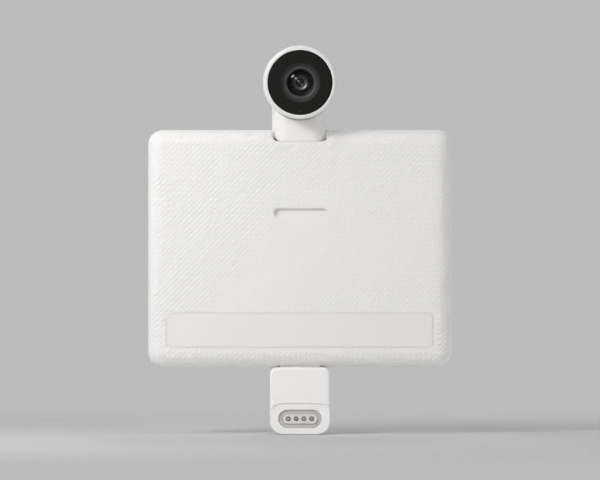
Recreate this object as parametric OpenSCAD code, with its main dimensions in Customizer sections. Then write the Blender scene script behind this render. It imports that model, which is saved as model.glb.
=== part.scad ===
// Camera hub that docks on the back of a screen: a flat body, a tilting camera on a neck
// above it and a pod with four spring contacts below it.
// Everything is drawn as seen from the front: x right, y up, z towards the viewer, with
// z = 0 on the front face of the body. stand() then turns the drawing upright.

/* [Body] */
// Width of the body
body_w = 99; // [92:0.5:110]
// Height of the body
body_h = 77.2; // [72:0.2:88]
// Depth of the body
body_d = 13; // [12:0.1:15]
// Radius of the corners and of the front edge
edge_r = 4.8; // [4:0.1:6]
// Radius of the rear edge
rear_r = 2; // [1:0.1:2.2]
// Thickness of the cover walls
wall = 1.8; // [1.5:0.1:2.1]

/* [Front face] */
// Length of the key slot
slot_l = 17.3; // [12:0.1:24]
// Height of the key slot
slot_h = 2.9; // [2:0.1:4]
// Distance of the key slot below the top edge
slot_drop = 26.8; // [24:0.1:30]
// Depth of the key slot
slot_depth = 1.2; // [0.6:0.1:1.6]
// Distance from the ends of the grip strip to the sides of the body
strip_side = 6; // [5:0.1:10]
// Distance from the grip strip to the lower edge of the body
strip_low = 6.25; // [5.5:0.05:8]
// Height of the grip strip
strip_h = 11.5; // [10:0.1:13]
// Thickness of the grip strip
strip_t = 1; // [0.6:0.1:1.2]
// Width of the groove around the grip strip
groove_w = 0.45; // [0.3:0.05:0.6]
// Depth of that groove
groove_d = 0.15; // [0.1:0.05:0.3]

/* [Neck] */
// Width of the neck
neck_w = 18.2; // [17:0.1:20]
// Depth of the notch in the top rim of the body
notch_h = 3.6; // [3:0.1:4.2]
// Distance of the neck behind the front face
neck_set = 0.7; // [0.4:0.1:1.2]

/* [Camera head] */
// Diameter of the head
head_d = 24.1; // [23:0.1:27]
// Height of the lens axis above the top edge of the body
head_rise = 15.6; // [15:0.1:18]
// Length of the drum in front of the tilt axis
drum_l = 7.2; // [7:0.1:9]
// Width of the white rim around the face disc
rim_w = 1.45; // [1.4:0.05:2]
// Diameter of the funnel around the lens
funnel_d = 13.2; // [11:0.1:14]
// Diameter of the lens barrel
barrel_d = 8.9; // [8.2:0.1:9.4]
// Distance of the light dot below the lens axis
led_drop = 9.3; // [8.8:0.1:9.5]
// Tilt of the camera towards the floor, in degrees
tilt_down = 15; // [8:1:17]
// Tilt of the camera towards the ceiling, in degrees
tilt_up = 10; // [5:1:12]

/* [Contact pod] */
// Width of the pod
pod_w = 19.5; // [18.6:0.1:22]
// Height of the pod below the body
pod_h = 21.9; // [21:0.1:25]
// Depth of the pod
pod_d = 8.5; // [8:0.1:9.5]
// Distance of the pod behind the front face
pod_set = 0.9; // [0.6:0.1:1.2]
// Distance from the port to the lower end of the pod
port_low = 2.1; // [1.85:0.05:2.6]
// Step between the upper face of the pod and the field around the port
field_step = 0.35; // [0.2:0.05:0.5]
// Height of the island that carries the contacts
island_h = 3.1; // [2.6:0.1:3.3]
// Width of the channel around the island
channel_w = 1.45; // [1.2:0.05:1.6]
// Depth of the channel around the island
channel_d = 0.55; // [0.45:0.05:0.8]
// Pitch of the contacts
pin_pitch = 2.54; // [2.4:0.01:2.7]
// Travel of the contacts
pin_travel = 0.7; // [0.4:0.1:0.9]

/* [Fits] */
// Gap shown where two mouldings meet
seam = 0.25; // [0.15:0.05:0.4]
// Gap between a fixed piece and its seat
fit = 0.1; // [0.05:0.01:0.15]
// Running gap of a shaft in its bore
run = 0.04; // [0.02:0.01:0.08]
// Gap between the camera head and the cup of the neck
head_gap = 0.35; // [0.3:0.05:0.5]

/* [Hidden] */
$fn = 48;

// screws as head radius, head height and shank radius, and the gaps of their holes
cover_scr = [1.9, 1.2, 0.95];
board_scr = [1.5, 0.9, 0.75];
neck_scr = [1.8, 1.1, 0.95];
tongue_scr = [1.6, 1, 0.85];
pod_scr = [1.3, 0.8, 0.6];
carrier_scr = [0.85, 0.6, 0.5];
thread_gap = 0.05;
hole_gap = 0.2;
sink_gap = 0.3;

// body
half_w = body_w / 2;
half_h = body_h / 2;
in_w = body_w - 2 * wall;
in_y = half_h - wall;
in_r = edge_r - wall;
tray_d = 4;
z_split = tray_d - body_d;
z_in = -wall;
z_rear = wall - body_d;
lip_h = 1.2;
lip_t = 1;
root = 0.3;
boss_r = 3;
boss_side = 7.5;
boss_end = 8.6;
boss_x = half_w - boss_side;
boss_y = half_h - boss_end;
sink_d = 1.5;
slot_y = half_h - slot_drop;
slot_floor = 1.3;
strip_y = strip_low + strip_h / 2 - half_h;
strip_w = body_w - 2 * strip_side;
strip_r = 2;
magnet_in = 15;
magnet_gap = 1;
magnet_x1 = boss_x - boss_r - magnet_gap;
magnet_h = 8;
magnet_t = 2.2;
yoke_t = 0.8;
yoke_edge = 0.4;

// board stack, built up from the rear wall
spreader_t = 1.4;
thermal_t = 1;
shield_h = 2.4;
shield_t = 0.3;
board_t = 1.2;
board_side = 10.5;
board_low = 21.6;
board_high = 19.6;
z_spread = z_rear + spreader_t;
z_shield = z_spread + thermal_t;
z_board_b = z_shield + shield_h;
z_board = z_board_b + board_t;
board_w = body_w - 2 * board_side;
board_y0 = board_low - half_h;
board_y1 = half_h - board_high;
board_ym = (board_y0 + board_y1) / 2;
post_r = 2.2;
post_in = 3;
post_x = board_w / 2 - post_in;
post_dy = (board_y1 - board_y0) / 2 - post_in;
chip_side = 14;
chip_t = 1.4;
memory_w = 8;
memory_h = 7.4;
memory_t = 1;
memory_gap = 1.2;
shield_w = 38;
shield_l = 22;
pad_w = 30;
pad_l = 18;
spreader_side = 5;
spreader_end = 1;
radio_in = 9;
radio_w = 13;
radio_l = 10;
radio_t = 1.8;
coil_in = 4;
coil_side = 4;
coil_gap = 1;
coil_t = 1.8;
antenna_t = 0.6;
antenna_l = 28;
antenna_gap = 0.3;
ribbon_w = 6.4;
ribbon_t = 0.2;
mouth = 0.5;
socket_h = 1.6;
socket_l = 4;
socket_side = 1.2;
z_ribbon = z_board + socket_h / 2;

// neck and tilt axis
neck_front = -neck_set;
neck_back = z_rear + 0.3;
neck_r = (neck_front - neck_back) / 2 - 0.1;
notch_y = half_h - notch_h;
notch_r = 2.5;
notch_t = 2.6;
apron_y = notch_y + fit;
apron_r = 3;
cup_r = 1.2;
head_r = head_d / 2;
head_y = half_h + head_rise;
axis_z = neck_front + 1.5;
neck_top = head_y - 7.2;
foot_w = 15;
foot_y = half_h - 14.6;
foot_top = apron_y + 0.6;
lug_r = 2.4;
lug_x = 12.5;
lug_y = half_h - 11.1;
lug_t = 2;
lug_edge = 3.2;
z_lug = z_board - 0.3;

// shells of the head, the arms that carry it and the slots that the arms swing in
shell_t = 1.45;
bore_r = head_r - shell_t;
pivot_r = 1;
knuckle_r = 2.2;
arm_t = 1.9;
arm_hw = 1.3;
arm_x1 = neck_w / 2 - 0.45;
arm_x0 = arm_x1 - arm_t;
arm_half = asin(arm_hw / sqrt(bore_r * bore_r - arm_x1 * arm_x1));
arm_a = tilt_down + arm_half;
slot_gap = 0.3;
spigot_h = 1.4;
spigot_t = 0.9;

// levels inside the head
z_rim = axis_z + drum_l;
rim_r = 1;
face_r = head_r - rim_w - fit;
z_face = z_rim - 0.3;
z_ledge1 = z_face - 2;
z_ledge0 = z_ledge1 - 1.1;
ledge_r = bore_r - 2;
flange_t = 1;
z_flange = z_ledge0 - flange_t;
carrier_scr_r = ledge_r + 0.9;
washer_t = 0.5;
washer_gap = 0.05;
carrier_x = arm_x0 - washer_gap - washer_t;
carrier_y = 5.6;
z_sensor = axis_z - 3.2;
sensor_pcb = 0.8;
barrel_r = barrel_d / 2;
glass_r = barrel_r - 0.55;
optic_r = glass_r - 0.6;
iris_r = barrel_r - 2.25;
lens_gap = 0.03;
z_tip = z_ledge1 - 0.1;
z_glass = z_tip - 1.4;
z_iris = z_glass - 0.7;
led_y = head_y - led_drop;
led_r = 0.5;
led_w = 1.6;
led_h = 1;
led_t = 0.65;
z_sock = z_sensor - sensor_pcb - 1.2;
plug_y = 4.6;
ribbon_top = head_y - plug_y + 1.4;
ribbon_a = atan2(axis_z - z_sock, bore_r);

// pod
pod_y1 = -half_h - fit / 2;
pod_y0 = pod_y1 - pod_h;
pod_r0 = 4.2;
pod_r1 = 2.2;
pod_edge = 1;
pod_wall = 1.5;
pod_in_w = pod_w - 2 * pod_wall;
pod_tray = 3;
pod_tray_t = 1.4;
z_pod = -pod_set;
z_pod_b = z_pod - pod_d;
z_pod_s = z_pod_b + pod_tray;
z_pod_in = z_pod - 1.6;
pod_scr_x = pod_w / 2 - 3.3;
pod_scr_y = pod_y1 - 6;
pod_boss_r = 1.7;
pod_sink = 1;
tongue_w = 13;
z_tongue = z_pod_s + 3.5;
tongue_y = 5.3 - half_h;
tongue_lug_x = 10;
z_tlug = z_pod_s + 1.8;

// port and contacts
island_l = 3 * pin_pitch + island_h + 0.5;
port_l = island_l + 2 * channel_w;
port_h = island_h + 2 * channel_w;
port_y = pod_y0 + port_low + port_h / 2;
field_w = pod_w + 0.4;
field_y = port_y + port_h / 2 + 2.15;
field_r = 4;
z_field = z_pod - field_step;
flange_w = 0.3;
z_floor = z_field - channel_d;
z_cup_b = z_pod - 2.5;
z_pcb = z_pod_s;
pcb_t = 0.8;
z_pin = z_pod - 0.05;
z_island = z_field - 0.1;
pin_r = 0.6;
tip_r = 0.46;
pin_l = 1.5;
can_r = 0.8;
can_floor = 0.3;
can_lip = 0.25;
z_can = z_pin - pin_travel - 0.2;
z_pin_top = z_can - can_lip - 0.07;
z_pin_low = z_pin_top - pin_l;

// turns the front view upright: y becomes up, z comes towards the front
module stand() {
  rotate([90, 0, 0]) children();
}

// block with its middle at x, y that reaches from z0 to z1
module block(x, y, w, h, z0, z1) {
  translate([x - w / 2, y - h / 2, z0]) cube([w, h, z1 - z0]);
}

module rod(r, z0, z1) {
  translate([0, 0, z0]) cylinder(r = r, h = z1 - z0);
}

module rod_x(r, x0, x1) {
  translate([x0, 0, 0]) rotate([0, 90, 0]) cylinder(r = r, h = x1 - x0);
}

module slab(z0, z1) {
  translate([0, 0, z0]) linear_extrude(z1 - z0) children();
}

module both_sides() {
  children();
  mirror([1, 0, 0]) children();
}

module pair(x, y) {
  for (s = [-1, 1]) translate([s * x, y, 0]) children();
}

module four(x, y) {
  for (s = [-1, 1]) pair(x, s * y) children();
}

// outline from y0 to y1 with radius r0 at the lower and r1 at the upper corners
module outline(w, y0, y1, r0, r1) {
  ym = (y0 + y1) / 2;
  translate([r0 - w / 2, y0]) square([w - 2 * r0, ym - y0]);
  translate([r1 - w / 2, ym]) square([w - 2 * r1, y1 - ym]);
  translate([-w / 2, y0 + r0]) square([w, y1 - y0 - r0 - r1]);
  for (s = [-1, 1]) {
    if (r0 > 0) translate([s * (w / 2 - r0), y0 + r0]) circle(r0);
    if (r1 > 0) translate([s * (w / 2 - r1), y1 - r1]) circle(r1);
  }
}

module stadium(l, h) {
  square([l - h, h], center = true);
  for (s = [-1, 1]) translate([s * (l - h) / 2, 0]) circle(h / 2);
}

// half of a bar's section: a wide and d deep, its outer front corner rounded by f
module half_section(a, d, f) {
  translate([0, f]) square([a, d - f]);
  if (a > f) square([a - f, d]);
  intersection() {
    translate([a - f, f]) circle(f);
    square([a, f]);
  }
}

module soft_disc(r, d, f) {
  mirror([0, 0, 1]) rotate_extrude() half_section(r, d, f);
}

// block from z = -d to z = 0 with rounded corners and a front edge rounded by f
module soft_block(w, y0, y1, d, r0, r1, f) {
  ym = (y0 + y1) / 2;
  pair(w / 2 - r0, y0 + r0) soft_disc(r0, d, f);
  pair(w / 2 - r1, y1 - r1) soft_disc(r1, d, f);
  translate([r1 - w / 2, ym, 0]) rotate([90, 0, 90]) linear_extrude(w - 2 * r1)
    mirror([0, 1]) half_section(y1 - ym, d, f);
  translate([r0 - w / 2, ym, 0]) mirror([0, 1, 0]) rotate([90, 0, 90])
    linear_extrude(w - 2 * r0) mirror([0, 1]) half_section(ym - y0, d, f);
  translate([0, y0 + r0, 0]) rotate([-90, 0, 0]) linear_extrude(y1 - y0 - r0 - r1) {
    half_section(w / 2, d, f);
    mirror([1, 0]) half_section(w / 2, d, f);
  }
}

// screw put in from behind: its head ends at z, its shank reaches on to z + length
module screw(spec, length, z) {
  difference() {
    union() {
      rod(spec[0], z - spec[1], z);
      rod(spec[2], z - spec[1] / 2, z + length);
    }
    translate([0, 0, z - spec[1] - 1])
      cylinder(r = spec[0] / 2, h = 1 + spec[1] * 0.6, $fn = 6);
  }
}

module thread_hole(spec, z0, z1) {
  rod(spec[2] + thread_gap, z0, z1);
}

module screw_hole(spec, z0, z1) {
  rod(spec[2] + hole_gap, z0, z1);
}

// ribbon cable that runs up from level za to level zb, changing level from y1 to y2
module ribbon(ya, y1, y2, yb, za, zb) {
  t = ribbon_t / 2;
  translate([-ribbon_w / 2, 0, 0]) rotate([90, 0, 90]) linear_extrude(ribbon_w)
    polygon([[ya, za + t], [y1, za + t], [y2, zb + t], [yb, zb + t],
      [yb, zb - t], [y2, zb - t], [y1, za - t], [ya, za - t]]);
}

// slit that a ribbon passes through, from y0 to y1 around the levels za and zb
module ribbon_way(y0, y1, za, zb) {
  air = 0.6;
  translate([0, 0, min(za, zb) - air])
    block(0, (y0 + y1) / 2, ribbon_w + 2 * mouth, y1 - y0, 0, abs(za - zb) + 2 * air);
}

// Body

module front_cover() {
  color("whitesmoke") stand() difference() {
    union() {
      difference() {
        soft_block(body_w, -half_h, half_h, -z_split, edge_r, edge_r, edge_r);
        translate([0, 0, z_in]) soft_block(in_w, -in_y, in_y, -z_split, in_r, in_r, in_r);
      }
      four(boss_x, boss_y) rod(boss_r, z_split + fit / 2, z_in + root);
      translate([0, board_ym, 0]) four(post_x, post_dy) rod(post_r, z_board, z_in + root);
      pair(lug_x, lug_y) rod(lug_r, z_lug, z_in + root);
      pair(tongue_lug_x, tongue_y) rod(post_r, z_tlug, z_in + root);
      block(0, slot_y, slot_l + 2, slot_h + 2, -slot_depth - slot_floor, z_in + root);
    }
    slab(-notch_t, 1) outline(neck_w + 2 * seam, notch_y, half_h + edge_r, notch_r, 0);
    neck_post(seam, notch_y, half_h + edge_r);
    translate([0, slot_y, 0]) slab(-slot_depth, 1) stadium(slot_l, slot_h);
    strip_plate(0, -strip_t, 1);
    translate([0, 0, z_split - 1])
      block(0, -half_h, tongue_w + 2 * seam, 2 * edge_r, 0, z_tongue + seam - z_split + 1);
    four(boss_x, boss_y) thread_hole(cover_scr, z_split - 1, z_in - root);
    translate([0, board_ym, 0]) four(post_x, post_dy)
      thread_hole(board_scr, z_board - 1, z_in - root);
    pair(lug_x, lug_y) thread_hole(neck_scr, z_lug - 1, z_in - root);
    pair(tongue_lug_x, tongue_y) thread_hole(tongue_scr, z_tlug - 1, z_in - root);
  }
}

// closed wall that stands on the rear cover just inside its side walls
module rear_lip(gap, z0, z1) {
  difference() {
    slab(z0, z1) outline(in_w - 2 * gap, gap - in_y, in_y - gap, in_r - gap, in_r - gap);
    slab(z0 - 1, z1 + 1)
      outline(in_w - 2 * lip_t, lip_t - in_y, in_y - lip_t, in_r - lip_t, in_r - lip_t);
  }
}

module rear_cover() {
  color("gainsboro") stand() difference() {
    union() {
      difference() {
        translate([0, 0, -body_d]) mirror([0, 0, 1])
          soft_block(body_w, -half_h, half_h, tray_d, edge_r, edge_r, rear_r);
        slab(z_rear, z_split + 1) outline(in_w, -in_y, in_y, in_r, in_r);
      }
      rear_lip(-root, z_rear - root, z_split);
      rear_lip(fit, z_split - 1, z_split + lip_h);
      four(boss_x, boss_y) rod(boss_r, z_rear - root, z_split);
    }
    neck_post(seam, notch_y, half_h + edge_r);
    block(0, (notch_y + in_y) / 2, foot_w + 2 * seam, in_y - notch_y, z_rear, z_split + 2 * lip_h);
    translate([0, 0, z_split])
      block(0, -half_h, tongue_w + 2 * seam, 2 * edge_r, 0, body_d);
    four(boss_x, boss_y) {
      screw_hole(cover_scr, -body_d - 1, z_split + 1);
      rod(cover_scr[0] + sink_gap, -body_d - 1, sink_d - body_d);
    }
  }
}

// plate of the grip strip's outline, smaller by inset all round
module strip_plate(inset, z0, z1) {
  h = strip_h / 2 - inset;
  r = strip_r - inset;
  slab(z0, z1) outline(strip_w - 2 * inset, strip_y - h, strip_y + h, r, r);
}

module grip_strip() {
  color("white") stand() {
    strip_plate(run, -strip_t, -groove_d);
    strip_plate(groove_w, -groove_d - root, 0);
  }
}

module cover_screws() {
  color("dimgray") stand() four(boss_x, boss_y)
    screw(cover_scr, body_d - sink_d - wall - 2, sink_d - body_d);
}

module main_board() {
  color("darkgreen") stand() difference() {
    block(0, board_ym, board_w, board_y1 - board_y0, z_board_b, z_board);
    translate([0, board_ym, 0]) four(post_x, post_dy)
      screw_hole(board_scr, z_board_b - 1, z_board + 1);
  }
}

module board_screws() {
  color("silver") stand() translate([0, board_ym, 0]) four(post_x, post_dy)
    screw(board_scr, board_t + (z_in - z_board) / 2, z_board_b);
}

module processor() {
  color("black") stand()
    block(0, board_ym, chip_side, chip_side, z_board_b - chip_t, z_board_b);
}

module memory_chips() {
  x = (chip_side + memory_w) / 2 + memory_gap;
  y = (memory_h + memory_gap) / 2;
  color("black") stand() for (s = [-1, 1])
    block(x, board_ym + s * y, memory_w, memory_h, z_board_b - memory_t, z_board_b);
}

module shield_can() {
  w = shield_w - 2 * shield_t;
  l = shield_l - 2 * shield_t;
  color("silver") stand() difference() {
    block(0, board_ym, shield_w, shield_l, z_shield, z_board_b);
    block(0, board_ym, w, l, z_shield + shield_t, z_board_b + 1);
  }
}

module thermal_pad() {
  color("lightblue") stand() block(0, board_ym, pad_w, pad_l, z_spread, z_shield);
}

module heat_spreader() {
  l = board_y1 - board_y0 - 2 * spreader_end;
  color("lightgray") stand()
    block(0, board_ym, 2 * (post_x - spreader_side), l, z_rear, z_spread);
}

module radio_module() {
  x = radio_in + radio_w / 2 - board_w / 2;
  color("silver") stand() block(x, board_ym, radio_w, radio_l, z_board, z_board + radio_t);
}

module power_coils() {
  x = board_w / 2 - coil_in - coil_side / 2;
  color("dimgray") stand() for (i = [0, 1, 2])
    block(x - i * (coil_side + coil_gap), board_ym, coil_side, coil_side,
      z_board, z_board + coil_t);
}

module antenna(side) {
  x = (in_w - antenna_t) / 2;
  color("orange") stand()
    block(side * x, 0, antenna_t, antenna_l, z_split + lip_h + antenna_gap, -edge_r);
}

module antenna_left() {
  antenna(-1);
}

module antenna_right() {
  antenna(1);
}

module holding_magnets() {
  x = (magnet_in + magnet_x1) / 2;
  color("gray") stand() both_sides()
    block(x, strip_y, magnet_x1 - magnet_in, magnet_h, z_in - magnet_t, z_in);
}

module magnet_yokes() {
  x = (magnet_in + magnet_x1) / 2;
  h = magnet_h + 2 * yoke_edge;
  z = z_in - magnet_t;
  color("slategray") stand() both_sides()
    block(x, strip_y, magnet_x1 - magnet_in, h, z - yoke_t, z);
}

// ribbon socket on the front of the main board; up says which way its mouth faces
module board_socket(y_edge, up) {
  w = ribbon_w + 2 * socket_side;
  color("ivory") stand() difference() {
    block(0, y_edge - up * socket_l / 2, w, socket_l, z_board, z_board + socket_h);
    block(0, y_edge, ribbon_w + mouth, socket_l + 1, z_ribbon - mouth / 2, z_ribbon + mouth / 2);
  }
}

module camera_socket() {
  board_socket(board_y1, 1);
}

module dock_socket() {
  board_socket(board_y0, -1);
}

// Neck

// upright post with round ends, grown by gap all round
module neck_post(gap, y0, y1) {
  translate([0, y0, 0]) rotate([-90, 0, 0]) linear_extrude(y1 - y0)
    outline(neck_w + 2 * gap, -neck_front - gap, gap - neck_back, neck_r + gap, neck_r + gap);
}

module neck_arm() {
  y0 = -head_r - 1.5;
  y1 = -pivot_r - 0.3;
  translate([0, head_y, axis_z]) {
    rod_x(knuckle_r, arm_x0, arm_x1);
    rotate([arm_a, 0, 0])
      block((arm_x0 + arm_x1) / 2, (y0 + y1) / 2, arm_t, y1 - y0, -arm_hw, arm_hw);
  }
}

module neck() {
  color("white") stand() difference() {
    union() {
      difference() {
        intersection() {
          neck_post(0, foot_y, neck_top + 1);
          slab(neck_back - 1, 1) outline(neck_w, apron_y, neck_top, apron_r, cup_r);
        }
        translate([0, head_y, axis_z]) sphere(head_r + head_gap);
      }
      block(0, (foot_y + foot_top) / 2, foot_w, foot_top - foot_y, neck_back, z_in - 0.6);
      block(0, lug_y, 2 * (lug_x + lug_edge), 2 * lug_edge, z_lug - lug_t, z_lug);
      both_sides() neck_arm();
    }
    ribbon_way(foot_y - 1, head_y - 6, z_ribbon, z_sock);
    translate([0, head_y, axis_z]) rod_x(pivot_r + run, -neck_w, neck_w);
    pair(lug_x, lug_y) screw_hole(neck_scr, z_lug - lug_t - 1, z_lug + 1);
  }
}

module neck_screws() {
  color("silver") stand() pair(lug_x, lug_y)
    screw(neck_scr, lug_t + (z_in - z_lug) / 2, z_lug - lug_t);
}

module camera_ribbon() {
  color("chocolate") stand()
    ribbon(board_y1 - 2, foot_y + 5, notch_y, ribbon_top, z_ribbon, z_sock);
}

// Camera head

module carrier_places() {
  for (a = [45:90:315]) rotate([0, 0, a]) translate([carrier_scr_r, 0, 0]) children();
}

module drum_shell() {
  color("white") stand() difference() {
    translate([0, head_y, z_rim]) soft_disc(head_r, drum_l, rim_r);
    translate([0, head_y, 0]) {
      rod(bore_r, axis_z - 1, z_ledge0);
      rod(ledge_r, axis_z - 1, z_rim + 1);
      rod(head_r - rim_w, z_ledge1, z_rim + 1);
      carrier_places() thread_hole(carrier_scr, axis_z, z_ledge1 + 1);
    }
    translate([0, led_y, 0]) rod(led_r + fit, axis_z, z_rim);
  }
}

// wedge across x = +-w/2 that opens from angle a0 to a1, measured from straight down to the back
module wedge(x, w, a0, a1) {
  reach = 2 * head_r;
  am = (a0 + a1) / 2;
  translate([x - w / 2, 0, 0]) rotate([90, 0, 90]) linear_extrude(w)
    polygon([[0, 0], for (a = [a0, am, a1]) reach * [-cos(a), -sin(a)]]);
}

module rear_shell() {
  slot_half = asin((arm_hw + slot_gap) / sqrt(bore_r * bore_r - arm_x1 * arm_x1));
  arm_xm = (arm_x0 + arm_x1) / 2;
  color("white") stand() translate([0, head_y, axis_z]) difference() {
    union() {
      difference() {
        sphere(head_r);
        sphere(bore_r);
        rod(head_d, 0, head_d);
      }
      difference() {
        rod(bore_r - fit / 2, -2.6, spigot_h);
        rod(bore_r - fit / 2 - spigot_t, -3, spigot_h + 1);
        block(0, 0, head_d, 2 * knuckle_r + 2, -3, spigot_h + 1);
      }
    }
    both_sides() wedge(arm_xm, arm_t + 2 * slot_gap, -15, arm_a + tilt_up + slot_half);
    wedge(0, ribbon_w + 2, ribbon_a - tilt_down - 8, ribbon_a + tilt_up + 8);
  }
}

module face_disc() {
  t = z_face - z_ledge1;
  color("black") stand() difference() {
    translate([0, head_y, z_face]) soft_disc(face_r, t, 0.3);
    translate([0, head_y, z_ledge1]) rotate_extrude()
      polygon([[0, -1], [barrel_r + 0.12, -1], [barrel_r + 0.12, 0], [funnel_d / 2, t],
        [funnel_d / 2, t + 1], [0, t + 1]]);
    translate([0, led_y, 0]) rod(led_r + fit / 2, z_ledge1 - 1, z_face + 1);
  }
}

module lens_barrel() {
  color("black") stand() translate([0, head_y, 0]) difference() {
    rod(barrel_r, z_sensor + 1.8, z_tip);
    rod(glass_r + lens_gap, z_glass, z_tip + 1);
    rod(iris_r + lens_gap, z_iris - 1, z_tip);
    rod(optic_r + lens_gap, z_sensor, z_iris);
  }
}

module front_lens() {
  crown = 0.8;
  ball = (glass_r * glass_r + crown * crown) / (2 * crown);
  color("midnightblue") stand() translate([0, head_y, 0]) intersection() {
    rod(glass_r, z_glass, z_tip + 1);
    translate([0, 0, z_tip + 0.1 - ball]) sphere(ball);
  }
}

module iris_ring() {
  color("gray") stand() translate([0, head_y, 0]) difference() {
    rod(iris_r, z_iris, z_iris + 0.5);
    rod(iris_r - 0.9, z_iris - 1, z_glass);
  }
}

module rear_lens() {
  color("steelblue") stand() translate([0, head_y, 0]) rod(optic_r, z_iris - 2.1, z_iris);
}

module infrared_filter() {
  color("lightcyan") stand() translate([0, head_y, 0])
    rod(optic_r, z_sensor + 1.85, z_sensor + 2.2);
}

module image_sensor() {
  color("darkslategray") stand() block(0, head_y, 5.4, 4.6, z_sensor, z_sensor + 0.8);
}

module sensor_board() {
  side = 2 * carrier_y - 0.2;
  color("darkgreen") stand() block(0, head_y, side, side, z_sensor - sensor_pcb, z_sensor);
}

module sensor_socket() {
  depth = 2.4;
  y = head_y - plug_y;
  color("ivory") stand() difference() {
    block(0, y + depth / 2, ribbon_w + 2, depth, z_sock - 0.5, z_sensor - sensor_pcb);
    block(0, y, ribbon_w + mouth, 2 * (depth - 0.6), z_sock - mouth / 2, z_sock + mouth / 2);
  }
}

module camera_carrier() {
  color("dimgray") stand() translate([0, head_y, 0]) difference() {
    union() {
      block(0, 0, 2 * carrier_x, 2 * carrier_y, z_sensor, z_flange + root);
      rod(bore_r - fit, z_flange, z_ledge0);
    }
    rod(barrel_r + lens_gap, z_sensor - 1, z_ledge0 + 1);
    translate([0, 0, axis_z]) both_sides()
      rod_x(pivot_r + 0.01, barrel_r + 0.5, carrier_x + 1);
    carrier_places() screw_hole(carrier_scr, axis_z, z_ledge0 + 1);
    block(0, -led_drop, led_w + 2 * fit, led_h + 2 * fit, z_ledge0 - led_t, z_ledge0 + 1);
  }
}

module carrier_screws() {
  color("silver") stand() translate([0, head_y, 0]) carrier_places()
    screw(carrier_scr, flange_t + 1, z_flange);
}

module status_light() {
  color("lightyellow") stand() block(0, led_y, led_w, led_h, z_ledge0 - led_t, z_ledge0);
}

module light_pipe() {
  color("lightgray") stand() translate([0, led_y, 0]) rod(led_r, z_ledge0, z_face);
}

module tilt_pins() {
  color("silver") stand() translate([0, head_y, axis_z]) both_sides()
    rod_x(pivot_r, barrel_r + 0.5, arm_x1 + 0.25);
}

module friction_washers() {
  color("goldenrod") stand() translate([0, head_y, axis_z]) both_sides() difference() {
    rod_x(knuckle_r, carrier_x, carrier_x + washer_t);
    rod_x(pivot_r + lens_gap, carrier_x - 1, arm_x0);
  }
}

// Contact pod

module pod_room(z0, z1) {
  slab(z0, z1)
    outline(pod_in_w, pod_y0 + pod_wall, pod_y1 - pod_wall, pod_r0 - pod_wall, pod_r1 - pod_wall);
}

module pod_shell() {
  color("whitesmoke") stand() difference() {
    union() {
      difference() {
        translate([0, 0, z_pod])
          soft_block(pod_w, pod_y0, pod_y1, z_pod - z_pod_s, pod_r0, pod_r1, pod_edge);
        pod_room(z_pod_s - 1, z_pod_in);
      }
      pair(pod_scr_x, pod_scr_y) rod(pod_boss_r, z_pod_s, z_pod_in + root);
      block(0, (pod_y1 + tongue_y) / 2, tongue_w, tongue_y - pod_y1 + 1, z_pod_s, z_tongue);
      block(0, tongue_y, 2 * tongue_lug_x + 6, 5.2, z_pod_s, z_tlug);
    }
    slab(z_field, z_pod + 1) outline(field_w, pod_y0 - 1, field_y, 0, field_r);
    translate([0, port_y, 0]) slab(z_pod_in - 1, z_pod) stadium(port_l, port_h);
    ribbon_way(pod_y1 - 4, tongue_y + 4, z_ribbon, z_ribbon);
    pair(pod_scr_x, pod_scr_y) thread_hole(pod_scr, z_pod_s - 1, z_pod_in - root);
    pair(tongue_lug_x, tongue_y) screw_hole(tongue_scr, z_pod_s - 1, z_tlug + 1);
  }
}

module pod_back() {
  color("gainsboro") stand() difference() {
    translate([0, 0, z_pod_b]) mirror([0, 0, 1])
      soft_block(pod_w, pod_y0, pod_y1, pod_tray, pod_r0, pod_r1, pod_edge);
    difference() {
      pod_room(z_pod_b + pod_tray_t, z_pod_s + 1);
      pair(pod_scr_x, pod_scr_y) rod(pod_boss_r, z_pod_b, z_pod_s + 2);
    }
    pair(pod_scr_x, pod_scr_y) {
      screw_hole(pod_scr, z_pod_b - 1, z_pod_s + 1);
      rod(pod_scr[0] + sink_gap / 2, z_pod_b - 1, z_pod_b + pod_sink);
    }
  }
}

module pod_screws() {
  color("dimgray") stand() pair(pod_scr_x, pod_scr_y)
    screw(pod_scr, pod_tray - pod_sink + 2.2, z_pod_b + pod_sink);
}

module tongue_screws() {
  color("silver") stand() pair(tongue_lug_x, tongue_y)
    screw(tongue_scr, z_tlug - z_pod_s + (z_in - z_tlug) / 2, z_pod_s);
}

module port_cup() {
  l = port_l - fit;
  h = port_h - fit;
  color("silver") stand() translate([0, port_y, 0]) difference() {
    union() {
      slab(z_cup_b, z_floor) stadium(l, h);
      slab(z_cup_b, z_pod_in) stadium(port_l + 2 * flange_w, port_h + 2 * flange_w);
    }
    slab(z_cup_b - 1, z_field) stadium(island_l + fit, island_h + fit);
  }
}

module at_pin(i) {
  translate([(i - 2.5) * pin_pitch, port_y, 0]) children();
}

module pin_block() {
  color("ivory") stand() difference() {
    translate([0, port_y, 0]) {
      slab(z_pcb + can_floor, z_island) stadium(island_l, island_h);
      block(0, 0, island_l + 0.6, island_h + 1.7, z_cup_b - 1, z_cup_b);
    }
    for (i = [1:4]) at_pin(i) rod(can_r + lens_gap, z_pcb - 1, z_island + 1);
  }
}

module pin_barrels() {
  color("gold") stand() for (i = [1:4]) at_pin(i) difference() {
    rod(can_r, z_pcb, z_can);
    rod(pin_r + run, z_pcb + can_floor, z_can - can_lip);
    rod(tip_r + run, z_pcb + 1, z_can + 1);
  }
}

module contact(i) {
  color("gold") stand() at_pin(i) {
    rod(pin_r, z_pin_low, z_pin_top);
    rod(tip_r, z_pin_low, z_pin - tip_r);
    translate([0, 0, z_pin - tip_r]) sphere(tip_r);
  }
}

module contact_1() {
  contact(1);
}

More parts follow.
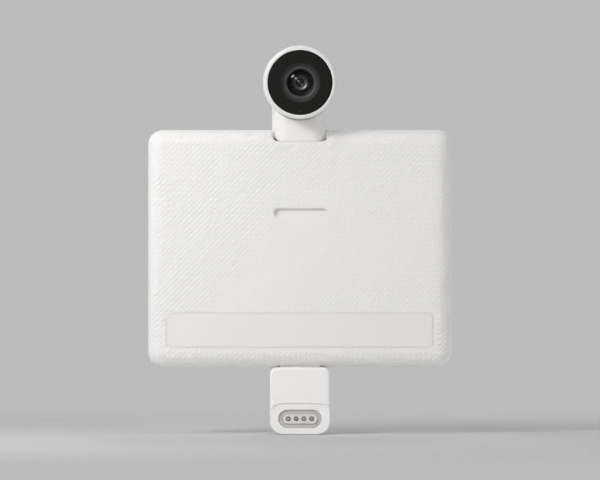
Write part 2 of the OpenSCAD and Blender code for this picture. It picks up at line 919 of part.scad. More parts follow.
module contact_2() {
  contact(2);
}

module contact_3() {
  contact(3);
}

module contact_4() {
  contact(4);
}

// the coil inside each barrel, as the sleeve that its turns fill
module contact_spring(i) {
  wire = 0.16;
  r = pin_r - 0.06;
  color("silver") stand() at_pin(i) difference() {
    rod(r, z_pcb + can_floor, z_pin_low);
    rod(r - wire, z_pcb, z_pin_top);
  }
}

module contact_spring_1() {
  contact_spring(1);
}

module contact_spring_2() {
  contact_spring(2);
}

module contact_spring_3() {
  contact_spring(3);
}

module contact_spring_4() {
  contact_spring(4);
}

module dock_magnets() {
  x0 = island_l / 2 + 0.6;
  x1 = pod_in_w / 2 - 0.3;
  color("gray") stand() both_sides()
    block((x0 + x1) / 2, port_y + 0.5, x1 - x0, 4, z_pcb, z_cup_b);
}

module dock_board() {
  y0 = pod_y0 + pod_wall + 1.5;
  y1 = pod_scr_y - pod_boss_r - 0.5;
  color("darkgreen") stand()
    block(0, (y0 + y1) / 2, pod_in_w - 2, y1 - y0, z_pcb - pcb_t, z_pcb);
}

module dock_ribbon() {
  y = pod_scr_y - pod_boss_r;
  color("chocolate") stand()
    ribbon(port_y + 4, y - 0.5, y + 3, board_y0 + 2, z_pcb + ribbon_t / 2, z_ribbon);
}

front_cover();
rear_cover();
grip_strip();
cover_screws();
main_board();
board_screws();
processor();
memory_chips();
shield_can();
thermal_pad();
heat_spreader();
radio_module();
antenna_left();
antenna_right();
holding_magnets();
magnet_yokes();
camera_socket();
dock_socket();
power_coils();
neck();
neck_screws();
camera_ribbon();
drum_shell();
rear_shell();
face_disc();
lens_barrel();
front_lens();
iris_ring();
rear_lens();
infrared_filter();
image_sensor();
sensor_board();
sensor_socket();
camera_carrier();
carrier_screws();
status_light();
light_pipe();
tilt_pins();
friction_washers();
pod_shell();
pod_back();
pod_screws();
tongue_screws();
port_cup();
pin_block();
pin_barrels();
contact_1();
contact_2();
contact_3();
contact_4();
contact_spring_1();
contact_spring_2();
contact_spring_3();
contact_spring_4();
dock_magnets();
dock_board();
dock_ribbon();
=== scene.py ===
# %% [markdown]
# # A camera hub for the back of a screen
# The hub is a flat white body with a camera on a neck above it and a pod with sprung contacts below it.
# The imported solids already have the right sizes and places. This lesson loads them as a fixed frame,
# gives each one its finish, and adds what solids can't show well: the woven grain on the body, the glass
# of the lens, coil springs and a flat ribbon.

# %% Load the imported solids
import math

import bmesh
import bpy
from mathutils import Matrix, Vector


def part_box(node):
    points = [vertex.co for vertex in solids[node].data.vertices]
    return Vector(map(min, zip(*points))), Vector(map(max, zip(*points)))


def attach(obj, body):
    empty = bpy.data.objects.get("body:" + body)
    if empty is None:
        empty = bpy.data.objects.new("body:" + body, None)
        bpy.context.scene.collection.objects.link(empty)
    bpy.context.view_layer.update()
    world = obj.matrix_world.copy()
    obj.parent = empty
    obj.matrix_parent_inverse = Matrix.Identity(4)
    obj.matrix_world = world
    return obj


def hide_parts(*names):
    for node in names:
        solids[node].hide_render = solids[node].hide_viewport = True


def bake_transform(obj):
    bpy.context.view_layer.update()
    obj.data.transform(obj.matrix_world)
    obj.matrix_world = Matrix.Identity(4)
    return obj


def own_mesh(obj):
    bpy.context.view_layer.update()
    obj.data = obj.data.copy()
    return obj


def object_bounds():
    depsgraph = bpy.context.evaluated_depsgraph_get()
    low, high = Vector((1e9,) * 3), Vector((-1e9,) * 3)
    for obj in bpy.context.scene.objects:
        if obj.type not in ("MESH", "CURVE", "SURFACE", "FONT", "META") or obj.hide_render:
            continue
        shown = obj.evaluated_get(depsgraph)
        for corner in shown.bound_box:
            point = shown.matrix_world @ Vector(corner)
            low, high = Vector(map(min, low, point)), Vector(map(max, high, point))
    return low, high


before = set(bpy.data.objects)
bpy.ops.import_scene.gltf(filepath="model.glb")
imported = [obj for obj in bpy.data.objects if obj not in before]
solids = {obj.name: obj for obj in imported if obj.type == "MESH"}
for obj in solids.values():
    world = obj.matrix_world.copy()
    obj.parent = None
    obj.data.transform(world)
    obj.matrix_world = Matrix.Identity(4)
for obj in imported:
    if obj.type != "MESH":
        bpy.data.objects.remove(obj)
cad_box = [list(corner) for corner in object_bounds()]
MM = 0.001
print("solids:", len(solids), "box in mm:", [[round(v / MM, 2) for v in c] for c in cad_box])

# %% [markdown]
# ## Where things are
# A piece that is placed by measured boxes keeps its place when the solids change. The lens axis, the face
# of the body and the port are read from the solids here, and the other cells use these names. The front
# of the hub faces -Y, so a smaller Y is nearer to the viewer.

# %% Read the main places from the solids
def middle(node):
    low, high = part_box(node)
    return (low + high) / 2


lens_at = middle("front_lens")
face_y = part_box("grip_strip")[0].y
strip_low, strip_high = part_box("grip_strip")
print("lens axis at height", round(lens_at.z / MM, 2), "mm")
print("face of the body at", round(face_y / MM, 3), "mm")

# %% [markdown]
# ## Small helpers for node trees
# Node trees are long when every node is written out by hand. Three helpers keep them readable: one makes
# a node and fills its sockets, one makes a math node, and one makes an empty group with named sockets.

# %% Helpers that build nodes
def add(tree, kind, inputs=None, **settings):
    node = tree.nodes.new(kind)
    for name, value in settings.items():
        setattr(node, name, value)
    for key, value in (inputs or {}).items():
        if isinstance(value, bpy.types.NodeSocket):
            tree.links.new(value, node.inputs[key])
        else:
            node.inputs[key].default_value = value
    return node


def calc(tree, operation, first, second=0.0, third=0.0):
    node = add(tree, "ShaderNodeMath", {0: first, 1: second, 2: third}, operation=operation)
    return node.outputs[0]


def new_group(name, kind, inputs, outputs):
    tree = bpy.data.node_groups.new(name, kind)
    for label, socket, value in inputs:
        made = tree.interface.new_socket(label, in_out="INPUT", socket_type=socket)
        if value is not None:
            made.default_value = value
    for label, socket in outputs:
        tree.interface.new_socket(label, in_out="OUTPUT", socket_type=socket)
    return tree, tree.nodes.new("NodeGroupInput").outputs, tree.nodes.new("NodeGroupOutput").inputs


print("node helpers:", [helper.__name__ for helper in (add, calc, new_group)])


# %% [markdown]
# ## The grain that every moulded part shares
# Moulded plastic is never one flat colour: the tool's spark-eroded skin leaves fine specks, and the
# colour drifts a little over a few millimetres. One shader group makes both, so that every plastic in the
# hub is a relative of the others. It gives a colour, a roughness and a height, and each material keeps
# its own shader.

# %% Build the moulded grain group
VALUE, COLOUR, VECTOR = "NodeSocketFloat", "NodeSocketColor", "NodeSocketVector"
grain, g_in, g_out = new_group(
    "moulded_grain", "ShaderNodeTree",
    [("Vector", VECTOR, None), ("Colour", COLOUR, (0.8, 0.8, 0.8, 1)), ("Drift", VALUE, 0.03),
     ("Patch Size", VALUE, 0.006), ("Speck Size", VALUE, 0.00025), ("Roughness", VALUE, 0.5),
     ("Spread", VALUE, 0.1)],
    [("Colour", COLOUR), ("Roughness", VALUE), ("Height", VALUE)])
patch = add(grain, "ShaderNodeTexNoise", {
    "Vector": g_in["Vector"], "Scale": calc(grain, "DIVIDE", 1.0, g_in["Patch Size"]), "Detail": 3.0})
speck = add(grain, "ShaderNodeTexNoise", {
    "Vector": g_in["Vector"], "Scale": calc(grain, "DIVIDE", 1.0, g_in["Speck Size"]), "Detail": 2.0})
swing = calc(grain, "SUBTRACT", patch.outputs[0], 0.5)
tint = calc(grain, "MULTIPLY_ADD", swing, g_in["Drift"], 1.0)
shade = add(grain, "ShaderNodeVectorMath", {0: g_in["Colour"], "Scale": tint}, operation="SCALE")
uneven = calc(grain, "SUBTRACT", speck.outputs[0], 0.5)
grain.links.new(shade.outputs[0], g_out["Colour"])
rough = calc(grain, "MULTIPLY_ADD", uneven, g_in["Spread"], g_in["Roughness"])
grain.links.new(rough, g_out["Roughness"])
grain.links.new(speck.outputs[0], g_out["Height"])
print("group moulded_grain:", len(grain.nodes), "nodes")

# %% [markdown]
# ## The brushed lines that the metals share
# Rolled and stamped sheet shows fine lines along one direction. A noise that is squeezed across that
# direction draws them, and the lines change the roughness and the height together, as scratches do.

# %% Build the brushed lines group
brushed, b_in, b_out = new_group(
    "brushed_lines", "ShaderNodeTree",
    [("Vector", VECTOR, None), ("Stretch", VECTOR, (400.0, 8000.0, 8000.0)),
     ("Colour", COLOUR, (0.6, 0.6, 0.6, 1)), ("Drift", VALUE, 0.1), ("Roughness", VALUE, 0.35),
     ("Spread", VALUE, 0.2)],
    [("Colour", COLOUR), ("Roughness", VALUE), ("Height", VALUE)])
squeezed = add(brushed, "ShaderNodeVectorMath", {0: b_in["Vector"], 1: b_in["Stretch"]},
               operation="MULTIPLY")
lines = add(brushed, "ShaderNodeTexNoise", {"Vector": squeezed.outputs[0], "Scale": 1.0, "Detail": 3.0})
swing = calc(brushed, "SUBTRACT", lines.outputs[0], 0.5)
tint = calc(brushed, "MULTIPLY_ADD", swing, b_in["Drift"], 1.0)
shade = add(brushed, "ShaderNodeVectorMath", {0: b_in["Colour"], "Scale": tint}, operation="SCALE")
brushed.links.new(shade.outputs[0], b_out["Colour"])
rough = calc(brushed, "MULTIPLY_ADD", swing, b_in["Spread"], b_in["Roughness"])
brushed.links.new(rough, b_out["Roughness"])
brushed.links.new(lines.outputs[0], b_out["Height"])
print("group brushed_lines:", len(brushed.nodes), "nodes")

# %% [markdown]
# ## From groups to finishes
# A finish is one material: object coordinates feed a group, the group feeds the shader's colour,
# roughness and bump, and whatever is the same all over is set on the shader itself. Two functions make
# all the finishes.

# %% Functions that make a finish
def finish(name, group, values, depth, fixed):
    material = bpy.data.materials.new(name)
    material.use_nodes = True
    tree = material.node_tree
    shader = tree.nodes["Principled BSDF"]
    place = add(tree, "ShaderNodeTexCoord").outputs["Object"]
    made = add(tree, "ShaderNodeGroup", node_tree=group)
    tree.links.new(place, made.inputs["Vector"])
    for key, value in values.items():
        made.inputs[key].default_value = value
    bump = add(tree, "ShaderNodeBump", {
        "Height": made.outputs["Height"], "Distance": depth, "Strength": 1.0})
    tree.links.new(made.outputs["Colour"], shader.inputs["Base Color"])
    tree.links.new(made.outputs["Roughness"], shader.inputs["Roughness"])
    tree.links.new(bump.outputs["Normal"], shader.inputs["Normal"])
    for key, value in fixed.items():
        shader.inputs[key].default_value = value
    return material


def moulded(name, colour, rough, drift=0.03, patch_size=0.006, speck_size=0.00025, depth=4e-6, **fixed):
    fixed.setdefault("Specular_IOR_Level", 0.2)
    values = {"Colour": (*colour, 1), "Drift": drift, "Patch Size": patch_size, "Speck Size": speck_size,
              "Roughness": rough, "Spread": 0.12}
    return finish(name, grain, values, depth, {key.replace("_", " "): v for key, v in fixed.items()})


def metal(name, colour, rough, stretch=(400, 8000, 8000), drift=0.12, depth=2e-6, shine=1.0):
    values = {"Colour": (*colour, 1), "Drift": drift, "Stretch": stretch, "Roughness": rough, "Spread": 0.25}
    return finish(name, brushed, values, depth, {"Metallic": shine})


print("finish helpers:", [helper.__name__ for helper in (finish, moulded, metal)])


# %% [markdown]
# ## The plastics of the hub
# The body has a dry matte skin. The neck, the head and the pod are smoother, the strip is a soft satin,
# and the disc round the lens is a satin black. The whites differ a little from part to part: the head is
# the darkest and the pod the lightest. A colour of 0.8 is a clean white plastic: a value of 1 would send
# back more light than any paint.

# %% Make the plastics
body_skin = moulded("body_skin", (0.81, 0.80, 0.79), 0.62, drift=0.02, depth=6e-6)
neck_skin = moulded("neck_skin", (0.82, 0.81, 0.80), 0.45, drift=0.015, speck_size=0.0004, depth=2e-6)
head_skin = moulded("head_skin", (0.74, 0.73, 0.72), 0.45, drift=0.015, speck_size=0.0004, depth=2e-6)
pod_skin = moulded("pod_skin", (0.86, 0.85, 0.84), 0.45, drift=0.015, speck_size=0.0004, depth=2e-6)
strip_skin = moulded("strip_skin", (0.79, 0.78, 0.77), 0.5, drift=0.012, speck_size=0.0004, depth=2e-6)
disc_black = moulded("disc_black", (0.0072, 0.0068, 0.0060), 0.42, drift=0.3, patch_size=0.004,
                     speck_size=0.00018, depth=3e-6, Specular_IOR_Level=0.09)
pupil_black = moulded("pupil_black", (0.003, 0.003, 0.003), 0.16, drift=0.2, depth=1e-7,
                      Specular_IOR_Level=0.4)
barrel_black = moulded("barrel_black", (0.0035, 0.0034, 0.0034), 0.5, drift=0.2, depth=2e-6,
                       Specular_IOR_Level=0.18)
island_ivory = moulded("island_ivory", (0.70, 0.67, 0.64), 0.45, depth=2e-6)
light_dot = moulded("light_dot", (0.016, 0.016, 0.016), 0.3, depth=1e-6)
board_green = moulded("board_green", (0.02, 0.12, 0.05), 0.35, drift=0.5, patch_size=0.003)
chip_black = moulded("chip_black", (0.02, 0.02, 0.02), 0.5, drift=0.2)
socket_ivory = moulded("socket_ivory", (0.6, 0.57, 0.5), 0.45)
ribbon_amber = moulded("ribbon_amber", (0.36, 0.15, 0.03), 0.3, drift=0.2)
pad_blue = moulded("pad_blue", (0.25, 0.4, 0.5), 0.7, drift=0.1)
print("plastics:", len(bpy.data.materials))

# %% [markdown]
# ## The metals of the hub
# Screws, springs and cans are bare steel, the contacts are plated, and the ring in the lens is dark so
# that only its lit side shows. The plate of the port and the contact tips are dull platings. A part metal
# shader shows them better than a mirror would, because a mirror that faces a plain room looks flat.

# %% Make the metals
cup_steel = metal("cup_steel", (0.47, 0.465, 0.46), 0.5, shine=0.35)
ring_steel = metal("ring_steel", (0.082, 0.080, 0.077), 0.40)
screw_steel = metal("screw_steel", (0.45, 0.45, 0.46), 0.32)
can_steel = metal("can_steel", (0.6, 0.6, 0.6), 0.35)
magnet_nickel = metal("magnet_nickel", (0.55, 0.54, 0.52), 0.25)
contact_gold = metal("contact_gold", (0.36, 0.335, 0.30), 0.48, shine=0.6)
barrel_gold = metal("barrel_gold", (0.34, 0.29, 0.24), 0.4)
bronze = metal("bronze", (0.55, 0.36, 0.15), 0.35)
copper = metal("copper", (0.7, 0.35, 0.18), 0.35)
sheet_aluminium = metal("sheet_aluminium", (0.7, 0.7, 0.71), 0.35)
print("plastics and metals:", len(bpy.data.materials))

# %% [markdown]
# ## Give each solid its finish
# One table says which solids wear which finish. A table is easier to check than an assignment for each
# solid, and a solid that is missing from it would stand out grey in the render.

# %% Dress the solids
FINISHES = {
    body_skin: "front_cover rear_cover",
    neck_skin: "neck",
    head_skin: "drum_shell rear_shell",
    pod_skin: "pod_shell pod_back",
    strip_skin: "grip_strip",
    disc_black: "face_disc",
    barrel_black: "lens_barrel camera_carrier",
    island_ivory: "pin_block",
    light_dot: "light_pipe status_light",
    board_green: "main_board sensor_board dock_board",
    chip_black: "processor memory_chips power_coils image_sensor",
    socket_ivory: "camera_socket dock_socket sensor_socket",
    ribbon_amber: "camera_ribbon dock_ribbon",
    pad_blue: "thermal_pad",
    cup_steel: "port_cup",
    ring_steel: "iris_ring",
    screw_steel: "cover_screws board_screws neck_screws carrier_screws pod_screws tongue_screws tilt_pins "
                 "contact_spring_1 contact_spring_2 contact_spring_3 contact_spring_4",
    can_steel: "shield_can radio_module magnet_yokes",
    magnet_nickel: "holding_magnets dock_magnets",
    contact_gold: "contact_1 contact_2 contact_3 contact_4",
    barrel_gold: "pin_barrels",
    bronze: "friction_washers",
    copper: "antenna_left antenna_right",
    sheet_aluminium: "heat_spreader",
}


def dress(obj, material):
    obj.data.materials.clear()
    obj.data.materials.append(material)


for material, names in FINISHES.items():
    for name in names.split():
        dress(solids[name], material)
print("finishes:", len(FINISHES), "for", sum(len(n.split()) for n in FINISHES.values()), "solids")

# %% [markdown]
# ## Coated glass
# Camera glass is nearly black: the coating lets light in and sends little back, apart from small bright
# images of the lamps. A see-through shader with a black base does that. Most of the light passes, so the
# rings behind it show, and its own gloss still makes the highlights.

# %% Make the glass
coated_glass = bpy.data.materials.new("coated_glass")
coated_glass.use_nodes = True
tree = coated_glass.node_tree
glass = tree.nodes["Principled BSDF"]
place = add(tree, "ShaderNodeTexCoord").outputs["Object"]
film = add(tree, "ShaderNodeGroup", node_tree=grain)
tree.links.new(place, film.inputs["Vector"])
film.inputs["Colour"].default_value = (0.006, 0.006, 0.007, 1)
film.inputs["Drift"].default_value = 0.4
film.inputs["Roughness"].default_value = 0.07
film.inputs["Spread"].default_value = 0.02
tree.links.new(film.outputs["Colour"], glass.inputs["Base Color"])
tree.links.new(film.outputs["Roughness"], glass.inputs["Roughness"])
glass.inputs["IOR"].default_value = 1.30
glass.inputs["Alpha"].default_value = 0.20
for name in ("front_lens", "rear_lens", "infrared_filter"):
    dress(solids[name], coated_glass)
print("glass lets through", 1 - glass.inputs["Alpha"].default_value)

# %% [markdown]
# ## Turned pieces
# The lens is a stack of turned pieces. Each one is a half profile of radius and depth, spun round the
# lens axis. Depth counts in millimetres towards the viewer from the face of the body, which is how a lens
# drawing counts.

# %% A function that turns a profile
def turned(name, profile, material, steps=96):
    mesh = bmesh.new()
    rings = []
    for radius, depth in profile:
        y = face_y - depth * MM
        if radius == 0:
            rings.append([mesh.verts.new((lens_at.x, y, lens_at.z))])
            continue
        turn = [2 * math.pi * i / steps for i in range(steps)]
        rings.append([mesh.verts.new((lens_at.x + radius * MM * math.cos(a), y,
                                      lens_at.z + radius * MM * math.sin(a))) for a in turn])
    for one, two in zip(rings, rings[1:] + rings[:1]):
        if len(one) == 1 and len(two) == 1:
            continue
        for i in range(steps):
            j = (i + 1) % steps
            corners = [one[i % len(one)], one[j % len(one)], two[j % len(two)], two[i % len(two)]]
            mesh.faces.new(list(dict.fromkeys(corners)))
    bmesh.ops.recalc_face_normals(mesh, faces=mesh.faces)
    return mesh_piece(name, mesh, material, smooth_below=30)


def mesh_piece(name, mesh, material, smooth_below=0):
    data = bpy.data.meshes.new(name)
    if smooth_below:
        for edge in mesh.edges:
            edge.smooth = len(edge.link_faces) < 2 or edge.calc_face_angle(0) < math.radians(smooth_below)
        for face in mesh.faces:
            face.smooth = True
    mesh.to_mesh(data)
    mesh.free()
    data.materials.append(material)
    obj = bpy.data.objects.new(name, data)
    bpy.context.scene.collection.objects.link(obj)
    return obj


def arc(radius, apex, r0, r1, count=12):
    """Points of a lens surface from radius r0 to r1; apex is its depth on the axis."""
    points = []
    for i in range(count + 1):
        r = r0 + (r1 - r0) * i / count
        sag = radius - math.sqrt(radius * radius - r * r)
        points.append((r, apex - sag))
    return points


print("turning helpers:", [helper.__name__ for helper in (turned, mesh_piece, arc)])


# %% [markdown]
# ## The lens
# From the front the real lens shows a funnel, a black tube, a domed glass, dark steps behind the glass, a
# bright cone and a dark pupil. Flat discs would show one flat tone. The domed surfaces make the lamp
# appear as a row of small highlights, and the cone catches the light only on the side that faces the
# lamp.

# %% Measure the lens and turn its glass
tube_low, tube_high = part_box("lens_barrel")
ring_low, ring_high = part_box("iris_ring")
tip = (face_y - tube_low.y) / MM
ring_r = (ring_high.x - ring_low.x) / 2 / MM
ring_back = (face_y - ring_high.y) / MM
glass_r = (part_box("front_lens")[1].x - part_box("front_lens")[0].x) / 2 / MM
glass_seat = (face_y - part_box("front_lens")[1].y) / MM

DOME, DOME_RISE, PLAY = 9.9, 0.55, 0.02
HOLLOW, HOLLOW_R, HOLLOW_RISE, BACK_RISE = 5.9, 2.55, 1.15, 0.55
front_glass = turned("front_glass", arc(DOME, tip + DOME_RISE, 0, glass_r - PLAY) + [
    (glass_r - PLAY, glass_seat + BACK_RISE + 0.01), (HOLLOW_R + 0.05, glass_seat + BACK_RISE)]
    + arc(HOLLOW, glass_seat + HOLLOW_RISE, HOLLOW_R, 0), coated_glass)
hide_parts("front_lens")
print("glass radius", round(glass_r, 2), "mm, seat at", round(glass_seat, 2), "mm")

# %% [markdown]
# Behind the glass a lens tube has steps that trap stray light, and then the mount of the next lens. The
# mount is a shallow bowl here: its slope grows with the radius, so only a crescent of it mirrors the
# lamp.

# %% Turn the steps and the bright cone
CONE_IN, CONE_OUT, CONE_LIFT, CONE_DEEP, CONE_CUTS = 1.42, 2.50, 0.04, 0.27, 10
STEPS, STEP_IN, STEP_DOWN, STEP_SLOPE, LEDGE = 4, 0.28, 0.1, 0.06, 0.32
steps_r, steps_top = glass_r - 0.03, glass_seat + 0.5
steps_profile = [(steps_r, glass_seat + PLAY), (steps_r, steps_top)]
for i in range(STEPS):
    radius = steps_r - LEDGE - STEP_IN * i
    level = steps_top - STEP_DOWN * i
    steps_profile += [(radius, level), (radius - STEP_SLOPE, level - STEP_DOWN)]
steps_profile.append((CONE_OUT + PLAY, glass_seat + PLAY))
tube_steps = turned("tube_steps", steps_profile, barrel_black)

bowl = []
for i in range(CONE_CUTS + 1):
    share = i / CONE_CUTS
    bowl.append((CONE_IN + (CONE_OUT - CONE_IN) * share, glass_seat + CONE_LIFT + CONE_DEEP * share ** 2))
cone_edge, cone_seat = ring_r - 0.04, glass_seat + 0.01
bright_cone = turned("bright_cone", [(CONE_IN, ring_back)] + bowl + [
    (CONE_OUT, cone_seat), (cone_edge, cone_seat), (cone_edge, ring_back)], ring_steel)
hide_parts("iris_ring")
print("cone from", CONE_IN, "to", CONE_OUT, "mm")

# %% [markdown]
# The pupil is the last lens. It is made of two cones whose slope sends the lamp's light straight to the
# camera, so each one shows a small bright dot. HALF_WAY is that slope: the lamp stands about 39 degrees
# off the axis, and a surface turned by half of that mirrors it forwards.

# %% Turn the pupil and set the stack on the camera head
HALF_WAY = 0.358
NIB_R, INNER_R = 0.20, 0.80
VALLEY_R, OUTER_R, VALLEY = 0.86, 1.30, 0.23
STUB_R, STUB_LONG, STUB_GAP = 3.28, 2.0, 0.06
pupil_at = glass_seat - 0.15
valley_at, stub_top, stub_end = pupil_at - VALLEY, ring_back - STUB_GAP, ring_back - STUB_LONG
pupil_profile = [
    (0, pupil_at + 0.04), (NIB_R, pupil_at), (INNER_R, pupil_at - (INNER_R - NIB_R) * HALF_WAY),
    (VALLEY_R, valley_at), (OUTER_R, valley_at + (OUTER_R - VALLEY_R) * HALF_WAY),
    (CONE_IN - PLAY, pupil_at), (CONE_IN - PLAY, stub_top),
    (STUB_R, stub_top), (STUB_R, stub_end), (0, stub_end)]
pupil_glass = turned("pupil_glass", pupil_profile, pupil_black)
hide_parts("rear_lens")

for piece, slot in ((front_glass, "lens_glass"), (tube_steps, "lens_black"), (bright_cone, "ring_bright"),
                    (pupil_glass, "lens_glass")):
    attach(piece, "camera_head")
print("lens pieces:", [len(p.data.polygons) for p in (front_glass, tube_steps, bright_cone, pupil_glass)])

# %% [markdown]
# ## Painted light on the funnel
# The funnel round the lens is the disc's own black plastic. Its liner is painted lighter than the disc, as
# light caught on the sloping walls, and the paint fades into the disc's black at the mouth in place of the
# shading of a rounded edge. A colour ramp over the distance from the lens axis does that: dark at the tube,
# lightest just outside it, and the disc's own black at the flange. The ramp replaces the plain colour that
# goes into the grain group.

# %% Paint light and shade on the funnel by its radius
disc_low, disc_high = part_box("face_disc")
disc_front = (face_y - disc_low.y) / MM
disc_back = (face_y - disc_high.y) / MM
# The liner's grey is the disc's black painted lighter, as light caught on the funnel's walls.
funnel_painted_light = moulded("funnel_painted_light", (0.04, 0.04, 0.04), 0.42, drift=0.15, depth=2e-6,
                      Specular_IOR_Level=0.10)
tree = funnel_painted_light.node_tree
spot = add(tree, "ShaderNodeSeparateXYZ", {0: add(tree, "ShaderNodeTexCoord").outputs["Object"]})
off_x = calc(tree, "SUBTRACT", spot.outputs["X"], lens_at.x)
off_z = calc(tree, "SUBTRACT", spot.outputs["Z"], lens_at.z)
square = calc(tree, "ADD", calc(tree, "MULTIPLY", off_x, off_x), calc(tree, "MULTIPLY", off_z, off_z))
from_axis = calc(tree, "SQRT", square)
tube_r = (tube_high.x - tube_low.x) / 2 / MM
MOUTH_R, FLOOR_R, FLANGE_R = 6.60, 5.20, 7.0
span = add(tree, "ShaderNodeMapRange", {
    "Value": from_axis, "From Min": tube_r * MM, "From Max": FLANGE_R * MM})
ramp = add(tree, "ShaderNodeValToRGB", {"Fac": span.outputs[0]})
# The stops are painted light and shade: lighter than the disc just outside the tube, fading to the disc's
# black at the flange in place of a rounded mouth's shading.
PAINTED_LIGHT_STOPS = ((0.0, 0.044), (0.20, 0.067), (0.36, 0.046), (0.66, 0.036), (0.88, 0.0075))
ramp.color_ramp.elements.remove(ramp.color_ramp.elements[0])
for at, grey in PAINTED_LIGHT_STOPS:
    ramp.color_ramp.elements.new(at).color = (grey, grey * 0.98, grey * 0.95, 1)
ramp.color_ramp.elements[-1].color = (0.0072, 0.0068, 0.0060, 1)
made = next(n for n in tree.nodes if n.bl_idname == "ShaderNodeGroup")
tree.links.new(ramp.outputs["Color"], made.inputs["Colour"])
print("stops of the ramp:", len(ramp.color_ramp.elements))

# %% [markdown]
# ## The funnel and the collar
# The liner is a thin turned ring that lies on the cone of the solid disc, with a flange that laps over
# its face. A collar with a round edge closes the gap between the funnel and the tube. Both are turned
# like the lens pieces, because a profile is the plainest way to draw a round part.

# %% Turn the funnel's liner and the collar
collar_grey = moulded("collar_grey", (0.007, 0.0067, 0.006), 0.34, drift=0.15, depth=1e-6,
                      Specular_IOR_Level=0.12)
floor_at = disc_back + (FLOOR_R - tube_r) / (MOUTH_R - tube_r) * (disc_front - disc_back) + 0.02
LAP, FUNNEL_STEPS = 0.1, 12
wall = [(FLANGE_R, disc_front - LAP), (FLANGE_R, disc_front + 0.004), (MOUTH_R + 0.02, disc_front + 0.012)]
for i in range(FUNNEL_STEPS + 1):
    share = i / FUNNEL_STEPS
    wall.append((MOUTH_R - (MOUTH_R - FLOOR_R) * share,
                 disc_front + 0.01 - (disc_front - floor_at) * share))
wall += [(FLOOR_R - 0.12, floor_at - 0.05), (FLOOR_R - 0.3, floor_at - 0.08), (tube_r, floor_at - 0.10)]
liner = turned("funnel_liner", wall + [(tube_r, disc_back - 0.02), (MOUTH_R, disc_front - LAP)], funnel_painted_light)

COLLAR_R, COLLAR_T, COLLAR_DOWN, COLLAR_CUTS = 4.21, 0.27, 0.22, 12
EDGE_FROM, EDGE_SWEEP = -20, 220
collar = []
for i in range(COLLAR_CUTS + 1):
    turn = math.radians(EDGE_FROM + EDGE_SWEEP * i / COLLAR_CUTS)
    collar.append((COLLAR_R + COLLAR_T * math.cos(turn), floor_at - COLLAR_DOWN + COLLAR_T * math.sin(turn)))
collar += [(COLLAR_R - COLLAR_T, tip - LAP), (COLLAR_R + COLLAR_T, tip - LAP)]
tube_collar = turned("tube_collar", collar, collar_grey)
for piece in (liner, tube_collar):
    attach(piece, "camera_head")
print("funnel and collar faces:", len(liner.data.polygons), len(tube_collar.data.polygons))

# %% [markdown]
# ## The woven grain of the body
# The face of the body is covered with short raised dashes in diagonal rows, like a woven cloth. There are
# about two thousand, far too many to place by hand, and they wrap over the rounded rim. Geometry Nodes
# lays out a lattice, shoots a ray from each point onto the cover, and sets one low dash on the surface
# where it lands.

# %% A low dash with rounded ends
END_SLOPE = 1.2


def dash_mesh(length, width, height):
    mesh = bmesh.new()
    outline = [(-0.5, 0.0), (-0.36, -0.40), (0.0, -0.5), (0.36, -0.40), (0.5, 0.0),
               (0.36, 0.40), (0.0, 0.5), (-0.36, 0.40)]
    levels = [(1.0, -0.3), (0.98, 0.0), (0.68, 0.55), (0.36, 0.88), (0.10, 1.0)]
    rings = []
    for size, level in levels:
        reach = length - width * (1 - size) * END_SLOPE
        rings.append([mesh.verts.new((x * reach, y * width * size, level * height)) for x, y in outline])
    for low, high in zip(rings, rings[1:]):
        for i in range(len(outline)):
            j = (i + 1) % len(outline)
            mesh.faces.new((low[i], low[j], high[j], high[i]))
    mesh.faces.new(rings[-1])
    mesh.faces.new(rings[0][::-1])
    return mesh


DASH_LENGTH, DASH_WIDTH, DASH_HEIGHT = 2.26 * MM, 1.16 * MM, 0.050 * MM
dash = mesh_piece("grain_dash", dash_mesh(DASH_LENGTH, DASH_WIDTH, DASH_HEIGHT), body_skin, smooth_below=60)
DASH_FACES = len(dash.data.polygons)
print("faces in a dash:", DASH_FACES)

# %% [markdown]
# The tree takes the pitch of the rows, the stride along a row and the dash as named inputs. Three boxes
# are kept clear: the key slot, the grip strip and the notch for the neck. Points whose ray misses the
# cover, or lands where the rim has turned away from the front, are dropped.

# %% The tree that spreads the dashes
OBJECT, GEOMETRY, MATERIAL = "NodeSocketObject", "NodeSocketGeometry", "NodeSocketMaterial"
spread, s_in, s_out = new_group(
    "spread_dashes", "GeometryNodeTree",
    [("Cover", OBJECT, None), ("Dash", OBJECT, None), ("Material", MATERIAL, None),
     ("Pitch", VALUE, 0.00124), ("Stride", VALUE, 0.00234), ("Reach", VALUE, 0.07),
     ("Least Facing", VALUE, 0.45)],
    [("Geometry", GEOMETRY)])


def count_of(step):
    return calc(spread, "ROUND", calc(spread, "DIVIDE", calc(spread, "MULTIPLY", s_in["Reach"], 2.0), step))


across, along = count_of(s_in["Pitch"]), count_of(s_in["Stride"])
lattice = add(spread, "GeometryNodeMeshGrid", {
    "Size X": calc(spread, "MULTIPLY", along, s_in["Stride"]),
    "Size Y": calc(spread, "MULTIPLY", across, s_in["Pitch"]),
    "Vertices X": calc(spread, "ADD", along, 1.0), "Vertices Y": calc(spread, "ADD", across, 1.0)})
points = add(spread, "GeometryNodeMeshToPoints", {"Mesh": lattice.outputs["Mesh"]})
flat = add(spread, "ShaderNodeSeparateXYZ", {0: add(spread, "GeometryNodeInputPosition").outputs[0]})
row = calc(spread, "ROUND", calc(spread, "DIVIDE", flat.outputs["Y"], s_in["Pitch"]))
half_step = calc(spread, "MULTIPLY", calc(spread, "FLOORED_MODULO", row, 2.0), 0.5)
shift = add(spread, "ShaderNodeCombineXYZ", {"X": calc(spread, "MULTIPLY", half_step, s_in["Stride"])})
staggered = add(spread, "GeometryNodeSetPosition", {
    "Geometry": points.outputs[0], "Offset": shift.outputs[0]})
IN_FRONT = 0.02
